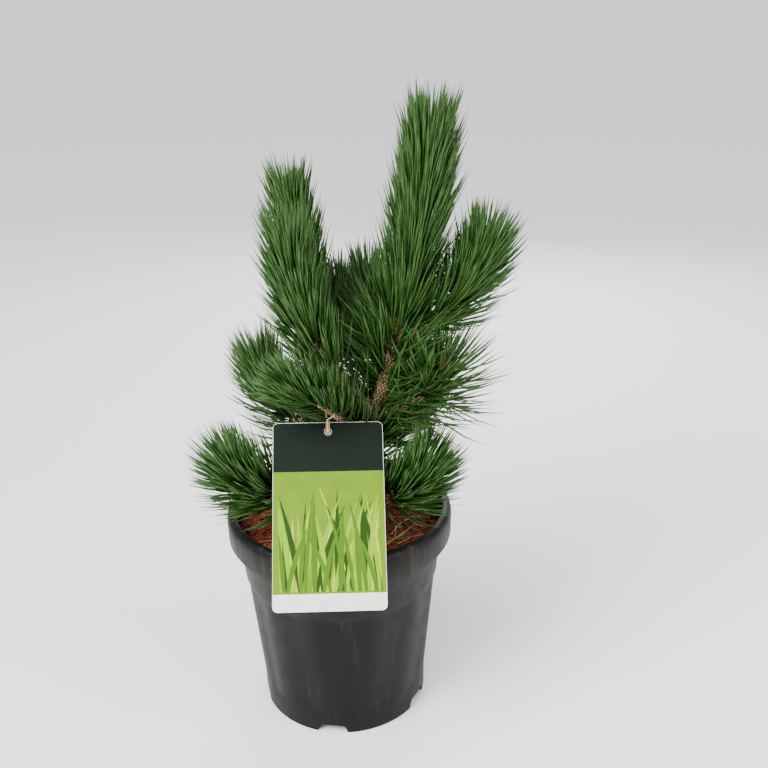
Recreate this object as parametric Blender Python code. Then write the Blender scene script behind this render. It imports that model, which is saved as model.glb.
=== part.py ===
"""A young Bosnian pine in a black nursery pot, with its hanging label. Metres, +Z up, the origin on the
ground under the middle of the pot. The photograph's viewer stands on the -Y side."""

import math
import random

import bmesh
import bpy
import numpy as np
from mathutils import Matrix, Vector

MM = 0.001
GAP = 0.3 * MM
GOLDEN_ANGLE = math.radians(137.508)

# Pot: a five litre nursery container with a rolled rim, a collar under it and a fluted wall
POT_HEIGHT = 218 * MM
RIM_RADIUS = 112.5 * MM
MOUTH_RADIUS = 103.5 * MM
COLLAR_RADIUS = 99 * MM
BASE_RADIUS = 84.5 * MM
WALL = 2.4 * MM
FLOOR_RISE = 9.5 * MM
BOSS_RADIUS = 28 * MM
POT_SIDES = 36
FLUTES = 12
FLUTE_DEPTH = 1.2 * MM
FOOT_NOTCHES = 5
FIRST_NOTCH_DEG = -10.4
NOTCH_WIDTH_FOOT = 31 * MM
NOTCH_WIDTH_TOP = 24 * MM
DRAIN_RADIUS = 6 * MM
DRAIN_CIRCLE = 58 * MM

# Potting mix
SOIL_HEIGHT = 200 * MM
SOIL_CROWN = 1.5 * MM
FLAT_RADIUS = 14 * MM

# Trunk: height, offset to the right, offset to the back, radius, all in millimetres
TRUNK = (
    (200.3, 0, 0, 12.5),
    (208, 1.5, 0, 9.6),
    (228, 7, 0, 8.4),
    (265, 18, -1, 7.8),
    (305, 32, -1, 7.4),
    (344, 46, 0, 6.6),
    (384, 58, 2, 6.0),
    (414, 65.5, 4, 5.6),
    (457, 74.5, 5, 5.0),
    (503, 82, 5, 4.4),
    (548, 88, 4, 3.8),
    (566, 90, 4, 3.2),
)
TRUNK_SIDES = 8
FLARE_LOBES = 5
FLARE_DEPTH = 0.16
FLARE_HEIGHT = 25

# Boughs: foot height on the trunk, or the bough that it forks from and where along it; the bud's place; how
# far out it runs and how far it climbs before it turns up; foot and tip radii; the share of it with no needles
BOUGHS = {
    "left_front": dict(foot=318, tip=(-36, -30, 482), out=0.85, rise=0.36, radii=(5.6, 3.4), bare=0.42),
    "left_back": dict(fork=("left_front", 0.30), tip=(-35, 30, 516), out=0.75, rise=0.40, radii=(4.6, 3.4), bare=0.40),
    "right_upper": dict(foot=384, tip=(140, -2, 474), out=0.80, rise=0.38, radii=(4.2, 3.2), bare=0.34),
    "centre": dict(foot=346, tip=(36, 46, 430), out=0.85, rise=0.40, radii=(4.0, 3.0), bare=0.30),
    "back_centre": dict(foot=334, tip=(6, 68, 412), out=0.85, rise=0.38, radii=(4.0, 3.0), bare=0.34),
    "left_mid": dict(foot=286, tip=(-35, -58, 363), out=0.50, rise=0.70, radii=(4.2, 3.2), bare=0.50),
    "right_mid": dict(foot=312, tip=(99, -18, 364), out=0.85, rise=0.30, radii=(4.0, 3.0), bare=0.34),
    "lower_left": dict(foot=232, tip=(-95, -47, 282), out=0.80, rise=0.26, radii=(4.4, 3.2), bare=0.44),
    "lower_right": dict(foot=224, tip=(79, -44, 270), out=0.80, rise=0.24, radii=(4.4, 3.2), bare=0.38),
    "back_left": dict(foot=262, tip=(-72, 56, 342), out=0.85, rise=0.34, radii=(4.4, 3.2), bare=0.40),
    "back_right": dict(foot=252, tip=(88, 66, 324), out=0.85, rise=0.32, radii=(4.4, 3.2), bare=0.38),
    "back_low": dict(foot=229, tip=(-14, 94, 276), out=0.85, rise=0.28, radii=(4.2, 3.2), bare=0.40),
}
BOUGH_SIDES = 6
BOUGH_STEPS = 6

# Needle masses: sprays in each, their length in millimetres, and the angle to the shoot at its foot and at its bud
NEEDLES = {
    "left_front": dict(sprays=38, length=72, open=(46, 13)),
    "left_back": dict(sprays=30, length=66, open=(40, 12)),
    "right_upper": dict(sprays=34, length=72, open=(52, 20)),
    "centre": dict(sprays=22, length=64, open=(48, 20)),
    "back_centre": dict(sprays=24, length=66, open=(50, 20)),
    "left_mid": dict(sprays=32, length=66, open=(62, 26)),
    "right_mid": dict(sprays=30, length=72, open=(64, 26)),
    "lower_left": dict(sprays=36, length=70, open=(70, 24)),
    "lower_right": dict(sprays=36, length=70, open=(68, 24)),
    "back_left": dict(sprays=28, length=70, open=(56, 22)),
    "back_right": dict(sprays=28, length=70, open=(56, 22)),
    "back_low": dict(sprays=26, length=66, open=(60, 24)),
}
LEADER = dict(sprays=68, length=72, open=(44, 12))
LEADER_FOOT = 406
MIDDLE = dict(sprays=24, length=74, open=(66, 50))
MIDDLE_SPAN = (361, 379)
LOW = dict(sprays=12, length=52, open=(66, 56))
LOW_SPAN = (269, 280)

CORE_SIDES = 6
CORE_STEPS = 6
CORE_SWELL = 1.2 * MM
SLEEVE_WALL = 1.8 * MM
BUD_LENGTH = 14 * MM
BUD_RADIUS = 3.8 * MM
BUD_SHAPE = ((0.15, 1.0), (0.5, 0.9), (0.85, 0.45), (1.0, 0.12))
SPRAY_WIDTH = 3.4 * MM
SPRAY_ROOM = 2 * MM
SPRAY_CLEARANCE = 0.5 * MM
LENGTH_RANGE = (0.88, 1.05)
TURN_JITTER = 0.25
OPEN_JITTER_DEG = 5
UPTURN = 0.32
OVER_MIX = 4 * MM
INSIDE_RIM = 5 * MM
LABEL_MARGIN = 4 * MM
PLACES_TESTED = 8
SEED = 41

# Label: a card that leans on the rim and hangs from a tie round the left middle bough
LABEL_WIDTH = 103 * MM
LABEL_LENGTH = 174 * MM
LABEL_THICK = 0.6 * MM
LABEL_CORNER = 5 * MM
LABEL_X = -11 * MM
LABEL_LEAN_DEG = 39
LABEL_SWING_DEG = -1.2
LABEL_ABOVE_RIM = 133 * MM
HOLE_RADIUS = 3.2 * MM
HOLE_INSET = 9 * MM
TIE_RADIUS = 0.8 * MM
TIE_PLACE = 0.50
TIE_STEPS = 24
TIE_SIDES = 4
WELD = 1e-7


def clear_scene():
    for obj in list(bpy.data.objects):
        bpy.data.objects.remove(obj)


def material(name, colour, roughness, metallic=0.0):
    made = bpy.data.materials.new(name)
    made.use_nodes = True
    shader = made.node_tree.nodes["Principled BSDF"]
    shader.inputs["Base Color"].default_value = (*colour, 1)
    shader.inputs["Roughness"].default_value = roughness
    shader.inputs["Metallic"].default_value = metallic
    made.diffuse_color = (*colour, 1)
    return made


def object_from(name, bm, finish=None):
    """The bmesh as a new object of the scene, with its faces pointing out."""
    bmesh.ops.recalc_face_normals(bm, faces=bm.faces)
    mesh = bpy.data.meshes.new(name)
    bm.to_mesh(mesh)
    bm.free()
    obj = bpy.data.objects.new(name, mesh)
    bpy.context.scene.collection.objects.link(obj)
    if finish is not None:
        mesh.materials.append(finish)
    return obj


def smooth(obj, degrees=40):
    obj.data.shade_smooth()
    obj.data.set_sharp_from_angle(angle=math.radians(degrees))


def bake_modifiers(obj):
    """Gives the object the mesh that its modifiers make, and takes the modifiers off."""
    bpy.context.view_layer.update()
    graph = bpy.context.evaluated_depsgraph_get()
    made = bpy.data.meshes.new_from_object(obj.evaluated_get(graph))
    obj.modifiers.clear()
    obj.data = made


def boolean(obj, operation, others, solver="EXACT"):
    """Joins the other objects to this one, or cuts them from it, and removes them."""
    group = bpy.data.collections.new("operands")
    bpy.context.scene.collection.children.link(group)
    for other in others:
        group.objects.link(other)
    modifier = obj.modifiers.new(operation.lower(), "BOOLEAN")
    modifier.operation = operation
    modifier.operand_type = "COLLECTION"
    modifier.collection = group
    modifier.solver = solver
    bake_modifiers(obj)
    for other in others:
        bpy.data.objects.remove(other)
    bpy.data.collections.remove(group)


def drop_scraps(obj):
    """Keeps the largest joined body of the mesh, and drops any loose scrap that joining left."""
    bm = bmesh.new()
    bm.from_mesh(obj.data)
    left = set(bm.faces)
    bodies = []
    while left:
        body, edge = [], [left.pop()]
        while edge:
            face = edge.pop()
            body.append(face)
            for other in (near for side in face.edges for near in side.link_faces):
                if other in left:
                    left.discard(other)
                    edge.append(other)
        bodies.append(body)
    bodies.sort(key=len)
    bmesh.ops.delete(bm, geom=[face for body in bodies[:-1] for face in body], context="FACES")
    bm.to_mesh(obj.data)
    bm.free()


def ring_mesh(rings, closed_ends=True):
    """A tube through rings of equal count, its ends filled. A last ring of one point makes a sharp tip."""
    bm = bmesh.new()
    loops = [[bm.verts.new(point) for point in ring] for ring in rings]
    for low, high in zip(loops, loops[1:]):
        for i in range(len(low)):
            j = (i + 1) % len(low)
            corners = (low[i], low[j], high[0]) if len(high) == 1 else (low[i], low[j], high[j], high[i])
            bm.faces.new(corners)
    if closed_ends:
        bm.faces.new(loops[0])
        if len(loops[-1]) > 1:
            bm.faces.new(loops[-1])
    return bm


def triangulated(bm):
    """The mesh in triangles, so that every face of a join stays flat."""
    bmesh.ops.triangulate(bm, faces=bm.faces)
    return bm


# Paths

def trunk_point(height):
    """The trunk's axis and radius at a height in millimetres, smoothly through the named rows."""
    rows = np.array(TRUNK, float)
    height = min(max(height, rows[0, 0]), rows[-1, 0])
    k = int(np.clip(np.searchsorted(rows[:, 0], height) - 1, 0, len(rows) - 2))
    span = rows[k + 1, 0] - rows[k, 0]
    t = (height - rows[k, 0]) / span
    slopes = np.gradient(rows[:, 1:], rows[:, 0], axis=0)
    a, b = rows[k, 1:], rows[k + 1, 1:]
    blend = (
        a * (2 * t**3 - 3 * t**2 + 1)
        + slopes[k] * span * (t**3 - 2 * t**2 + t)
        + b * (3 * t**2 - 2 * t**3)
        + slopes[k + 1] * span * (t**3 - t**2)
    )
    return Vector((blend[0], blend[1], height)) * MM, blend[2] * MM


def bough_path(name):
    """A function from 0, at the bough's foot on its parent's axis, to 1, at its bud."""
    facts = BOUGHS[name]
    if "fork" in facts:
        parent, along = facts["fork"]
        foot = bough_path(parent)(along)
    else:
        foot = trunk_point(facts["foot"])[0]
    tip = Vector(facts["tip"]) * MM
    across = Vector((tip.x - foot.x, tip.y - foot.y, 0))
    elbow = foot + across * facts["out"] + Vector((0, 0, (tip.z - foot.z) * facts["rise"]))

    def at(t):
        return foot * (1 - t) ** 2 + elbow * (2 * t * (1 - t)) + tip * t**2

    return at


def tangent(path, t):
    step = 1e-3
    return (path(min(t + step, 1)) - path(max(t - step, 0))).normalized()


def frame_round(direction):
    """Two directions square to this one, the first as near to +X as it goes."""
    side = Vector((1, 0, 0)) - direction * direction.x
    if side.length < 0.2:
        side = Vector((0, 1, 0)) - direction * direction.y
    side.normalize()
    return side, direction.cross(side).normalized()


def ring_round(centre, direction, radius, sides):
    side, up = frame_round(direction)
    points = []
    for k in range(sides):
        angle = math.tau * k / sides
        points.append(centre + (side * math.cos(angle) + up * math.sin(angle)) * radius)
    return points


def limb(path, start, end, radius_at, sides, steps):
    """A tapering tube along a path from start to end."""
    rings = []
    for k in range(steps + 1):
        t = start + (end - start) * k / steps
        rings.append(ring_round(path(t), tangent(path, t), radius_at(t), sides))
    return ring_mesh(rings)


# Pot and what fills it

def pot_inside(gap):
    """The inner wall from the mouth down to the floor's edge, as (radius, height), drawn in by a gap."""
    return [
        (MOUTH_RADIUS - 1.5 * MM - gap, POT_HEIGHT - 22 * MM),
        (COLLAR_RADIUS - 2.4 * MM - gap, 168 * MM),
        (COLLAR_RADIUS - 6.2 * MM - gap, 142 * MM),
        (BASE_RADIUS - 2.4 * MM - gap, 30 * MM),
        (BASE_RADIUS - 3.4 * MM - gap, FLOOR_RISE + WALL),
    ]


def pot_outline():
    """The pot's section, from the middle of its underside out, up and back in, as (radius, height, fluted)."""
    rim_base = POT_HEIGHT - 28 * MM
    outer = [
        (0, 0, 0),
        (BOSS_RADIUS, 0, 0),
        (BOSS_RADIUS + 4 * MM, FLOOR_RISE, 0),
        (BASE_RADIUS - 2 * WALL, FLOOR_RISE, 0),
        (BASE_RADIUS - WALL, 0, 0),
        (BASE_RADIUS, 0, 0),
        (BASE_RADIUS + 0.4 * MM, 24 * MM, 0),
        (BASE_RADIUS + 1 * MM, 32 * MM, 1),
        (COLLAR_RADIUS - 3.4 * MM, 138 * MM, 1),
        (COLLAR_RADIUS - 3 * MM, 145 * MM, 0),
        (COLLAR_RADIUS - 1 * MM, 149 * MM, 0),
        (COLLAR_RADIUS + 1 * MM, 170 * MM, 0),
        (RIM_RADIUS - 0.5 * MM, rim_base, 0),
        (RIM_RADIUS, POT_HEIGHT - 8 * MM, 0),
        (RIM_RADIUS - 1.6 * MM, POT_HEIGHT - 2.6 * MM, 0),
        (RIM_RADIUS - 5 * MM, POT_HEIGHT, 0),
        (MOUTH_RADIUS, POT_HEIGHT - 0.6 * MM, 0),
    ]
    inner = [(radius, height, 0) for radius, height in pot_inside(0)]
    return outer + inner + [(0, FLOOR_RISE + WALL, 0)]


def flute(angle):
    """How deep the wall is pressed in at an angle, from 0 on a rib to 1 in a panel."""
    return 1.0 if math.cos(FLUTES * angle) < 0.2 else 0.0


def turned(outline):
    """A closed body turned about +Z from an outline that starts and ends on the axis."""
    bm = bmesh.new()
    first = bm.verts.new((0, 0, outline[0][1]))
    last = bm.verts.new((0, 0, outline[-1][1]))
    loops = []
    for radius, height, fluted in outline[1:-1]:
        loop = []
        for k in range(POT_SIDES):
            angle = math.tau * k / POT_SIDES
            r = radius - FLUTE_DEPTH * fluted * flute(angle)
            loop.append(bm.verts.new((r * math.cos(angle), r * math.sin(angle), height)))
        loops.append(loop)
    for k in range(POT_SIDES):
        j = (k + 1) % POT_SIDES
        bm.faces.new((first, loops[0][j], loops[0][k]))
        bm.faces.new((last, loops[-1][k], loops[-1][j]))
        for low, high in zip(loops, loops[1:]):
            bm.faces.new((low[k], low[j], high[j], high[k]))
    return bm


def notch_cutter(angle):
    """A wedge that opens the foot ring, wider at the ground."""
    inner, outer = BASE_RADIUS - 12 * MM, BASE_RADIUS + 12 * MM
    foot, top = NOTCH_WIDTH_FOOT / 2, NOTCH_WIDTH_TOP / 2
    ceiling = FLOOR_RISE - 0.4 * MM
    rings = []
    for y in (-inner, -outer):
        section = ((-foot, -2 * MM), (foot, -2 * MM), (top, ceiling), (-top, ceiling))
        rings.append([Vector((x, y, z)) for x, z in section])
    bm = ring_mesh(rings)
    bmesh.ops.rotate(bm, verts=bm.verts, cent=(0, 0, 0), matrix=Matrix.Rotation(angle, 3, "Z"))
    return object_from("notch", bm)


def drain_cutter(angle):
    centre = Vector((math.sin(angle), -math.cos(angle), 0)) * DRAIN_CIRCLE
    heights = (FLOOR_RISE - 4 * MM, FLOOR_RISE + WALL + 4 * MM)
    rings = [ring_round(centre + Vector((0, 0, z)), Vector((0, 0, 1)), DRAIN_RADIUS, 8) for z in heights]
    return object_from("drain", ring_mesh(rings))


def make_pot(finish):
    pot = object_from("pot", turned(pot_outline()), finish)
    cutters = []
    for k in range(FOOT_NOTCHES):
        angle = math.radians(FIRST_NOTCH_DEG) + math.tau * k / FOOT_NOTCHES
        cutters.append(notch_cutter(angle))
        cutters.append(drain_cutter(angle + math.pi / FOOT_NOTCHES))
    boolean(pot, "DIFFERENCE", cutters)
    smooth(pot)
    return pot


def make_potting_mix(finish):
    """The mix fills the pot to just under its rim, with a low crown and a flat place for the trunk."""
    wall = [(radius, height, 0) for radius, height in pot_inside(2 * GAP)][::-1]
    floor = FLOOR_RISE + WALL + GAP
    top = [
        (0.7 * MOUTH_RADIUS, SOIL_HEIGHT - SOIL_CROWN, 0),
        (1.5 * FLAT_RADIUS, SOIL_HEIGHT, 0),
        (0, SOIL_HEIGHT, 0),
    ]
    edge = (wall[-1][0], SOIL_HEIGHT - 2 * SOIL_CROWN, 0)
    outline = [(0, floor, 0), (wall[0][0], floor, 0)] + wall[1:-1] + [edge] + top
    mix = object_from("potting_mix", turned(outline), finish)
    smooth(mix)
    return mix


# Limbs

def flare_wave(height):
    """Root lobes round the trunk, deepest at the mix and gone above the flare."""
    fade = max(0.0, 1 - (height - TRUNK[0][0]) / FLARE_HEIGHT)

    def wave(angle):
        return 1 + FLARE_DEPTH * fade * math.cos(FLARE_LOBES * angle)

    return wave


def trunk_rings(low, high, steps, extra):
    """Level rings of the trunk from one height to another, each wider than the trunk by extra."""
    rings = []
    for k in range(steps + 1):
        height = low + (high - low) * k / steps
        centre, radius = trunk_point(height)
        wave = flare_wave(height)
        ring = []
        for i in range(TRUNK_SIDES):
            angle = math.tau * i / TRUNK_SIDES
            ring.append(centre + Vector((math.cos(angle), math.sin(angle), 0)) * (radius * wave(angle) + extra))
        rings.append(ring)
    return rings


def trunk_loops(extra):
    """The whole trunk's rings, closer together where its foot flares."""
    low, high = TRUNK[0][0], TRUNK[-1][0]
    return trunk_rings(low, low + FLARE_HEIGHT, 3, extra)[:-1] + trunk_rings(low + FLARE_HEIGHT, high, 14, extra)


def make_trunk(finish):
    trunk = object_from("trunk", ring_mesh(trunk_loops(0)), finish)
    smooth(trunk)
    return trunk


def trunk_cutter():
    """The trunk a little wider, to cut a bough's foot clear of it."""
    return object_from("cutter", ring_mesh(trunk_loops(GAP)))


def bough_radius(name):
    foot, tip = (r * MM for r in BOUGHS[name]["radii"])
    return lambda t: foot + (tip - foot) * min(max(t, 0), 1)


def bough_cutter(name):
    radius = bough_radius(name)
    body = limb(bough_path(name), 0, BOUGHS[name]["bare"], lambda t: radius(t) + GAP, BOUGH_SIDES, BOUGH_STEPS)
    return object_from("cutter", body)


def make_bough(name, finish):
    """The bough runs from its parent's side to where its needles start."""
    facts = BOUGHS[name]
    body = limb(bough_path(name), 0, facts["bare"], bough_radius(name), BOUGH_SIDES, BOUGH_STEPS)
    bough = object_from(f"bough_{name}", body, finish)
    boolean(bough, "DIFFERENCE", [bough_cutter(facts["fork"][0]) if "fork" in facts else trunk_cutter()])
    drop_scraps(bough)
    smooth(bough)
    return bough


# Needles

def limb_segments():
    """Every limb as straight pieces with a radius, each with its owner's name."""
    found = []
    heights = [TRUNK[0][0] + (TRUNK[-1][0] - TRUNK[0][0]) * k / 16 for k in range(17)]
    for low, high in zip(heights, heights[1:]):
        (a, ra), (b, rb) = trunk_point(low), trunk_point(high)
        found.append((a, b, max(ra, rb), "trunk"))
    for name in BOUGHS:
        path, radius = bough_path(name), bough_radius(name)
        for k in range(8):
            t = k / 8
            found.append((path(t), path(t + 1 / 8), radius(t) + CORE_SWELL, name))
    return found


def nearest_distance(a0, a1, b0, b1):
    """The least distance from segment a0-a1 to each of many segments b0-b1, as numpy rows."""
    d1, d2, r = a1 - a0, b1 - b0, a0 - b0
    a = d1 @ d1
    e = np.einsum("ij,ij->i", d2, d2)
    f = np.einsum("ij,ij->i", d2, r)
    c = r @ d1
    b = d2 @ d1
    denominator = a * e - b * b
    safe = np.where(denominator > 1e-18, denominator, 1)
    s = np.clip(np.where(denominator > 1e-18, (b * f - c * e) / safe, 0), 0, 1)
    t = np.clip((b * s + f) / e, 0, 1)
    s = np.clip((b * t - c) / a, 0, 1)
    gap = (a0 + s[:, None] * d1) - (b0 + t[:, None] * d2)
    return np.sqrt(np.einsum("ij,ij->i", gap, gap))


class Taken:
    """The room that limbs, sprays and the label have taken, by owner."""

    def __init__(self):
        self.starts, self.ends, self.radii, self.owners = [], [], [], []

    def add(self, points, radius, owner):
        for a, b in zip(points, points[1:]):
            self.starts.append(tuple(a))
            self.ends.append(tuple(b))
            self.radii.append(radius)
            self.owners.append(owner)

    def free(self, points, radius, owner):
        owners = np.array(self.owners)
        other = owners != owner
        starts, ends = np.array(self.starts)[other], np.array(self.ends)[other]
        room = np.array(self.radii)[other] + radius + SPRAY_CLEARANCE
        for a, b in zip(points, points[1:]):
            if (nearest_distance(np.array(a), np.array(b), starts, ends) < room).any():
                return False
        return True


def spray_path(root, along, out, length, opening):
    """Three points of a spray: its root, its middle and its tip, which turns up a little."""
    start = along * math.cos(opening) + out * math.sin(opening)
    turn = along * 0.5 + Vector((0, 0, 1)) * 0.5
    middle = root + start * length * 0.5
    end = (start + turn * UPTURN).normalized()
    return [root, middle, middle + end * length * 0.5]


def spray_body(points, width):
    """A three-sided blade, widest at its middle, that ends in a sharp tip."""
    root, middle, tip = points
    rings = [
        ring_round(root, (middle - root).normalized(), width * 0.4, 3),
        ring_round(middle, (tip - root).normalized(), width * 0.5, 3),
        [tip],
    ]
    return object_from("spray", triangulated(ring_mesh(rings)))


def clear_of_pot(points):
    """True if a spray stays over the mix and clear of the pot's rim."""
    for a, b in zip(points, points[1:]):
        for k in range(PLACES_TESTED + 1):
            p = a.lerp(b, k / PLACES_TESTED)
            if p.z < SOIL_HEIGHT + OVER_MIX:
                return False
            if p.z < POT_HEIGHT + OVER_MIX and math.hypot(p.x, p.y) > MOUTH_RADIUS - INSIDE_RIM:
                return False
    return True


def label_frame():
    """The label's middle of the line where it rests on the rim, and its across, up and outward directions."""
    lean = math.radians(LABEL_LEAN_DEG)
    up = Vector((0, math.sin(lean), math.cos(lean)))
    out = Vector((0, -math.cos(lean), math.sin(lean)))
    across = Vector((1, 0, 0))
    swing = Matrix.Rotation(math.radians(LABEL_SWING_DEG), 3, out)
    rounding = Vector((LABEL_X, -RIM_RADIUS + 5 * MM, POT_HEIGHT - 5 * MM))
    seat = rounding + out * (5 * MM + GAP + LABEL_THICK)
    return seat, swing @ across, swing @ up, out


def clear_of_label(points):
    """True if no part of a spray comes through the label or stands in front of it."""
    seat, across, up, out = label_frame()
    foot = LABEL_ABOVE_RIM - LABEL_LENGTH
    for a, b in zip(points, points[1:]):
        for k in range(PLACES_TESTED + 1):
            p = a.lerp(b, k / PLACES_TESTED) - seat
            beside = abs(p.dot(across)) > LABEL_WIDTH / 2 + LABEL_MARGIN
            past = not foot - LABEL_MARGIN < p.dot(up) < LABEL_ABOVE_RIM + LABEL_MARGIN
            if not beside and not past and p.dot(out) > -LABEL_MARGIN:
                return False
    return True


def sprays_along(path, start, end, facts, owner, taken, surface, rng):
    """Sprays set round a stem by the golden angle, those that have no room left out."""
    made = []
    count = facts["sprays"]
    foot_open, bud_open = facts["open"]
    for k in range(count):
        share = (k + 0.5) / count
        t = start + (end - start) * share
        along = tangent(path, t)
        side, up = frame_round(along)
        angle = GOLDEN_ANGLE * k + rng.uniform(-TURN_JITTER, TURN_JITTER)
        out = side * math.cos(angle) + up * math.sin(angle)
        jitter = rng.uniform(-OPEN_JITTER_DEG, OPEN_JITTER_DEG)
        opening = math.radians(foot_open + (bud_open - foot_open) * share + jitter)
        length = facts["length"] * MM * rng.uniform(*LENGTH_RANGE)
        root = path(t) + out * surface(t)
        points = spray_path(root, along, out, length, opening)
        if not clear_of_pot(points) or not clear_of_label(points):
            continue
        past_root = [points[0].lerp(points[1], 0.3), points[1], points[2]]
        if not taken.free(past_root, SPRAY_ROOM, owner):
            continue
        taken.add(points, SPRAY_ROOM, owner)
        made.append(spray_body(points, SPRAY_WIDTH))
    return made


def bud_rings(path, t, sides, radius):
    """A pointed bud on the end of a stem."""
    tip, along = path(t), tangent(path, t)
    return [ring_round(tip + along * BUD_LENGTH * far, along, radius * wide, sides) for far, wide in BUD_SHAPE]


def make_mass(name, taken, rng, finish):
    """The bough's needled end: a slim core that ends in a bud, with sprays standing out of it."""
    path, facts = bough_path(name), BOUGHS[name]
    radius = bough_radius(name)
    length = sum((path((k + 1) / 20) - path(k / 20)).length for k in range(20))
    start = facts["bare"] + GAP / length
    bud_share = 1 - BUD_LENGTH / length

    def thick(t):
        swell = CORE_SWELL * min(1, (t - start) * 6)
        return radius(t) + swell

    rings = []
    for k in range(CORE_STEPS + 1):
        t = start + (bud_share - start) * k / CORE_STEPS
        rings.append(ring_round(path(t), tangent(path, t), thick(t), CORE_SIDES))
    rings += bud_rings(path, bud_share, CORE_SIDES, BUD_RADIUS)
    core = object_from(f"needles_{name}", triangulated(ring_mesh(rings)), finish)
    def inside(t):
        return -0.2 * thick(t)

    sprays = sprays_along(path, start + 0.06, bud_share + 0.01, NEEDLES[name], name, taken, inside, rng)
    boolean(core, "UNION", sprays, "MANIFOLD")
    drop_scraps(core)
    return core


def sleeve(low, high, steps, capped):
    """A thin sleeve round the trunk, or a cap over its tip, kept clear of it."""
    inner = trunk_rings(low, high, steps, GAP)
    outer = trunk_rings(low, high, steps, GAP + SLEEVE_WALL)
    if not capped:
        bm = ring_mesh(outer + inner[::-1] + [outer[0]], closed_ends=False)
        bmesh.ops.remove_doubles(bm, verts=bm.verts, dist=WELD)
        return bm
    top = trunk_point(high)[0]
    roof = []
    for far, wide in BUD_SHAPE:
        rise = Vector((0, 0, GAP + BUD_LENGTH * 1.2 * far))
        roof.append([top + (p - top) * 0.85 * wide + rise for p in outer[-1]])
    ceiling = [[p + Vector((0, 0, GAP)) for p in inner[-1]]]
    return ring_mesh(ceiling + inner[::-1] + outer + roof)


def trunk_mass(name, low, high, steps, capped, facts, taken, rng, finish):
    """Needles that stand out of a sleeve round the trunk, or out of a cap over its tip."""
    core = object_from(name, triangulated(sleeve(low, high, steps, capped)), finish)
    top = TRUNK[-1][0]

    def path(share):
        return trunk_point(share * top)[0]

    def surface(share):
        return trunk_point(share * top)[1] + GAP + SLEEVE_WALL * 0.5

    end = high - 1 if capped else high - 3
    sprays = sprays_along(path, (low + 3) / top, end / top, facts, name, taken, surface, rng)
    boolean(core, "UNION", sprays, "MANIFOLD")
    drop_scraps(core)
    return core


# Label

def make_label(finish):
    """A thin card with round corners and a hole for its tie."""
    seat, across, up, out = label_frame()
    half, top, foot = LABEL_WIDTH / 2, LABEL_ABOVE_RIM, LABEL_ABOVE_RIM - LABEL_LENGTH
    outline = []
    for x, y, first in ((half, top, 0), (-half, top, 90), (-half, foot, 180), (half, foot, 270)):
        centre_x, centre_y = x - math.copysign(LABEL_CORNER, x), y - math.copysign(LABEL_CORNER, y)
        for k in range(4):
            angle = math.radians(first + 30 * k)
            outline.append((centre_x + LABEL_CORNER * math.cos(angle), centre_y + LABEL_CORNER * math.sin(angle)))
    rings = []
    for z in (-LABEL_THICK / 2, LABEL_THICK / 2):
        rings.append([seat + across * x + up * y + out * z for x, y in outline])
    card = object_from("label_card", ring_mesh(rings), finish)
    hole = seat + up * (LABEL_ABOVE_RIM - HOLE_INSET)
    bore = [ring_round(hole + out * z, out, HOLE_RADIUS, 12) for z in (-5 * MM, 5 * MM)]
    boolean(card, "DIFFERENCE", [object_from("bore", ring_mesh(bore))])
    return card


def tie_points():
    """The tie's closed line: through the label's hole, over its top edge, and round the left middle bough."""
    seat, across, up, out = label_frame()
    hole = seat + up * (LABEL_ABOVE_RIM - HOLE_INSET)
    edge = seat + up * LABEL_ABOVE_RIM
    path = bough_path("left_mid")
    bough, along = path(TIE_PLACE), tangent(path, TIE_PLACE)
    away = (bough - edge) - along * (bough - edge).dot(along)
    away.normalize()
    side = along.cross(away).normalized()
    if side.dot(out) < 0:
        side = -side
    ring = bough_radius("left_mid")(TIE_PLACE) + CORE_SWELL + TIE_RADIUS + 2 * GAP
    return [
        hole + out * 0.3 * MM,
        hole + up * 3 * MM + out * 2.6 * MM,
        edge + up * 1.5 * MM + out * 3.2 * MM,
        bough + side * ring * 1.15 - away * ring * 0.5,
        bough + away * ring * 0.8 + side * ring * 0.8,
        bough + away * ring * 0.8 - side * ring * 0.8,
        bough - side * ring * 1.15 - away * ring * 0.5,
        edge - out * 4 * MM + up * 1 * MM,
        hole - out * 3 * MM + up * 2 * MM,
    ]


def closed_curve(points, count):
    """A smooth closed line through the points, as a count of places along it."""
    places = []
    total = len(points)
    for k in range(count):
        place = k / count * total
        i, t = int(place), place % 1
        a, b, c, d = (points[(i + j - 1) % total] for j in range(4))
        places.append(0.5 * (2 * b + (c - a) * t + (2 * a - 5 * b + 4 * c - d) * t**2 + (3 * b - a - 3 * c + d) * t**3))
    return places


def make_tie(finish):
    line = closed_curve(tie_points(), TIE_STEPS)
    normal = label_frame()[1]
    rings = []
    for k, place in enumerate(line):
        direction = (line[(k + 1) % len(line)] - line[k - 1]).normalized()
        first = (normal - direction * normal.dot(direction)).normalized()
        second = direction.cross(first)
        angles = (math.tau * i / TIE_SIDES for i in range(TIE_SIDES))
        rings.append([place + (first * math.cos(a) + second * math.sin(a)) * TIE_RADIUS for a in angles])
    bm = ring_mesh(rings + [rings[0]], closed_ends=False)
    bmesh.ops.remove_doubles(bm, verts=bm.verts, dist=WELD)
    return object_from("label_tie", bm, finish)


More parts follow.
